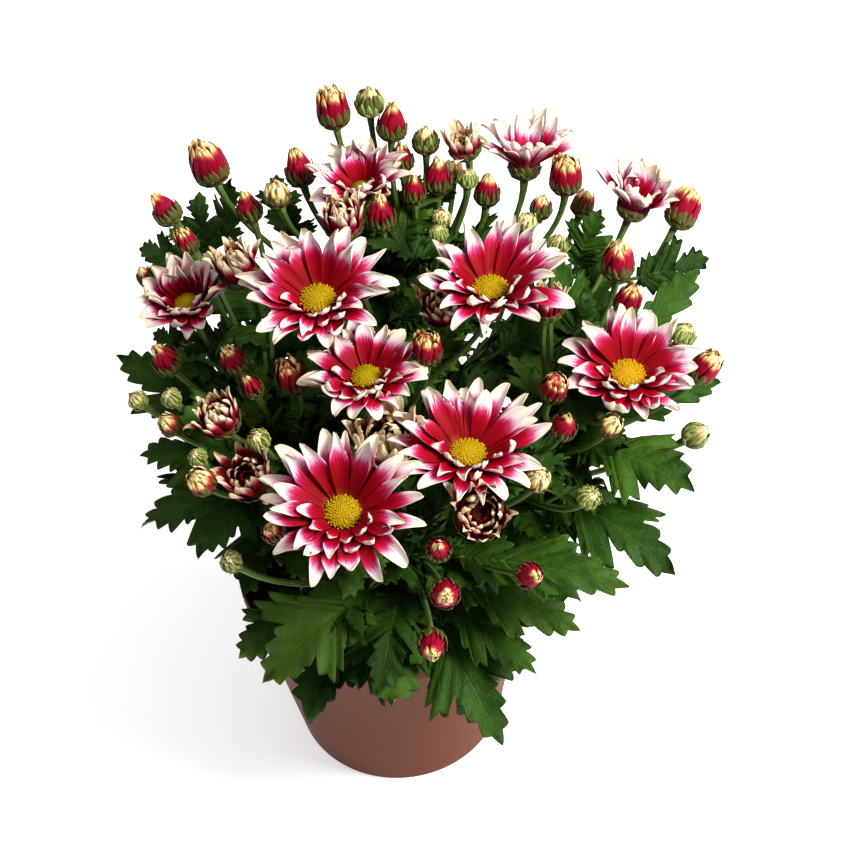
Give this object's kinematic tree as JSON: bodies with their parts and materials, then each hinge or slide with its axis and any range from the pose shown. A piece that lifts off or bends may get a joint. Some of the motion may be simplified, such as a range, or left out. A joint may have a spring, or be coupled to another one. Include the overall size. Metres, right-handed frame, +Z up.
{
  "type": "pot chrysanthemum",
  "caption": "Flowering pot chrysanthemum: a branching dome of daisy-like two-tone flowers, half-open flowers, buds and lobed leaves, rooted in a round tapered plastic pot.",
  "frame": {"origin": "centre of the flat underside of the pot", "axes": "+Z up along the axis of the pot; -Y towards the side of the plant with the lowest hanging leaves"},
  "size_m": [0.2664, 0.2525, 0.3211],
  "materials": {
    "pot": "satin",
    "soil": "matte",
    "stem": "satin",
    "leaf": "satin",
    "petal": "matte",
    "curled_petal": "matte",
    "bud": "matte",
    "disc": "matte",
    "calyx": "matte"
  },
  "bodies": {
    "root": {"pot": "pot", "soil": "soil", "stem_centre": "stem", "stem_front": "stem", "stem_left": "stem", "stem_right": "stem", "stem_back": "stem", "flower_01": "petal", "flower_02": "petal", "flower_03": "petal", "flower_04": "petal", "flower_05": "petal", "flower_06": "petal", "flower_07": "petal", "flower_08": "petal", "flower_09": "petal", "flower_10": "petal", "flower_11": "petal", "flower_12": "petal", "half_open_flower_01": "curled_petal", "half_open_flower_02": "curled_petal", "half_open_flower_03": "curled_petal", "half_open_flower_04": "curled_petal", "half_open_flower_05": "curled_petal", "half_open_flower_06": "curled_petal", "half_open_flower_07": "curled_petal", "half_open_flower_08": "curled_petal", "half_open_flower_09": "curled_petal", "bud_01": "bud", "bud_02": "bud", "bud_03": "bud", "bud_04": "bud", "bud_05": "bud", "bud_06": "bud", "bud_07": "bud", "bud_08": "bud", "bud_09": "bud", "bud_10": "bud", "bud_11": "bud", "bud_12": "bud", "bud_13": "bud", "leaf_01": "leaf", "leaf_02": "leaf", "leaf_03": "leaf", "leaf_04": "leaf", "leaf_05": "leaf", "leaf_06": "leaf", "leaf_07": "leaf", "leaf_08": "leaf", "leaf_09": "leaf", "leaf_10": "leaf", "leaf_11": "leaf", "leaf_12": "leaf", "leaf_13": "leaf", "leaf_14": "leaf", "leaf_15": "leaf", "leaf_16": "leaf", "leaf_17": "leaf", "leaf_18": "leaf", "leaf_19": "leaf"}
  },
  "joints": []
}
